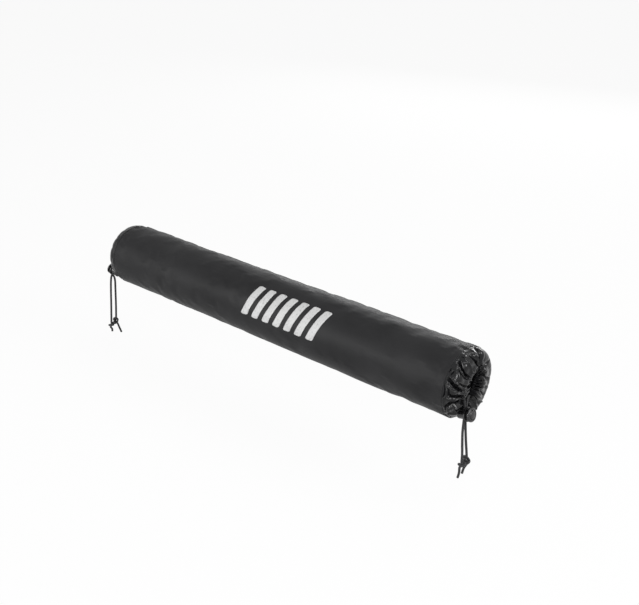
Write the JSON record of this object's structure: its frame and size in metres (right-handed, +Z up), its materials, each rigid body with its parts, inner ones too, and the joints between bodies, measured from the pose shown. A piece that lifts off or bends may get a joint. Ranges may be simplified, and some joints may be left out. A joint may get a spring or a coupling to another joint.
{
  "type": "roof rack pad",
  "caption": "Foam tube in a black fabric sleeve, with a gathered collar at each end that a drawcord and a spring cord lock pull shut round a roof bar.",
  "frame": {"origin": "middle of the pad's length, on the axis of the roof bar that carries it", "axes": "+X along the pad and the bar, +Z up, -Y towards the printed side"},
  "size_m": [0.6294, 0.0931, 0.1724],
  "materials": {
    "foam": "closed-cell foam, dark grey, matte",
    "sleeve": "coated black polyester, satin",
    "collar": "thin black nylon, gathered, with a sheen",
    "cord": "braided black polyester cord",
    "lock": "moulded black acetal, satin",
    "spring": "plain spring steel",
    "print": "light grey printed film"
  },
  "bodies": {
    "pad": {"foam_right": "foam", "foam_left": "foam", "sleeve": "sleeve", "print_bar_1": "print", "print_bar_2": "print", "print_bar_3": "print", "print_bar_4": "print", "print_bar_5": "print", "print_bar_6": "print", "print_bar_7": "print", "collar_right": "collar", "drawcord_right": "cord", "lock_body_right": "lock", "lock_spring_right": "spring", "tail_right_near": "cord", "knot_right_near": "cord", "tail_right_far": "cord", "knot_right_far": "cord", "collar_left": "collar", "drawcord_left": "cord", "lock_body_left": "lock", "lock_spring_left": "spring", "tail_left_near": "cord", "knot_left_near": "cord", "tail_left_far": "cord", "knot_left_far": "cord"},
    "button_right": {"lock_button_right": "lock"},
    "button_left": {"lock_button_left": "lock"}
  },
  "joints": [
    {"name": "press_right", "type": "slide", "parent": "pad", "child": "button_right", "axis": [-0.9659, 0, -0.2588], "range_m": [0, 0.003], "stiffness_N_per_m": 600, "springref_m": -0.004, "deforming": ["lock_spring_right"]},
    {"name": "press_left", "type": "slide", "parent": "pad", "child": "button_left", "axis": [0.9659, 0, -0.2588], "range_m": [0, 0.003], "stiffness_N_per_m": 600, "springref_m": -0.004, "deforming": ["lock_spring_left"]}
  ]
}
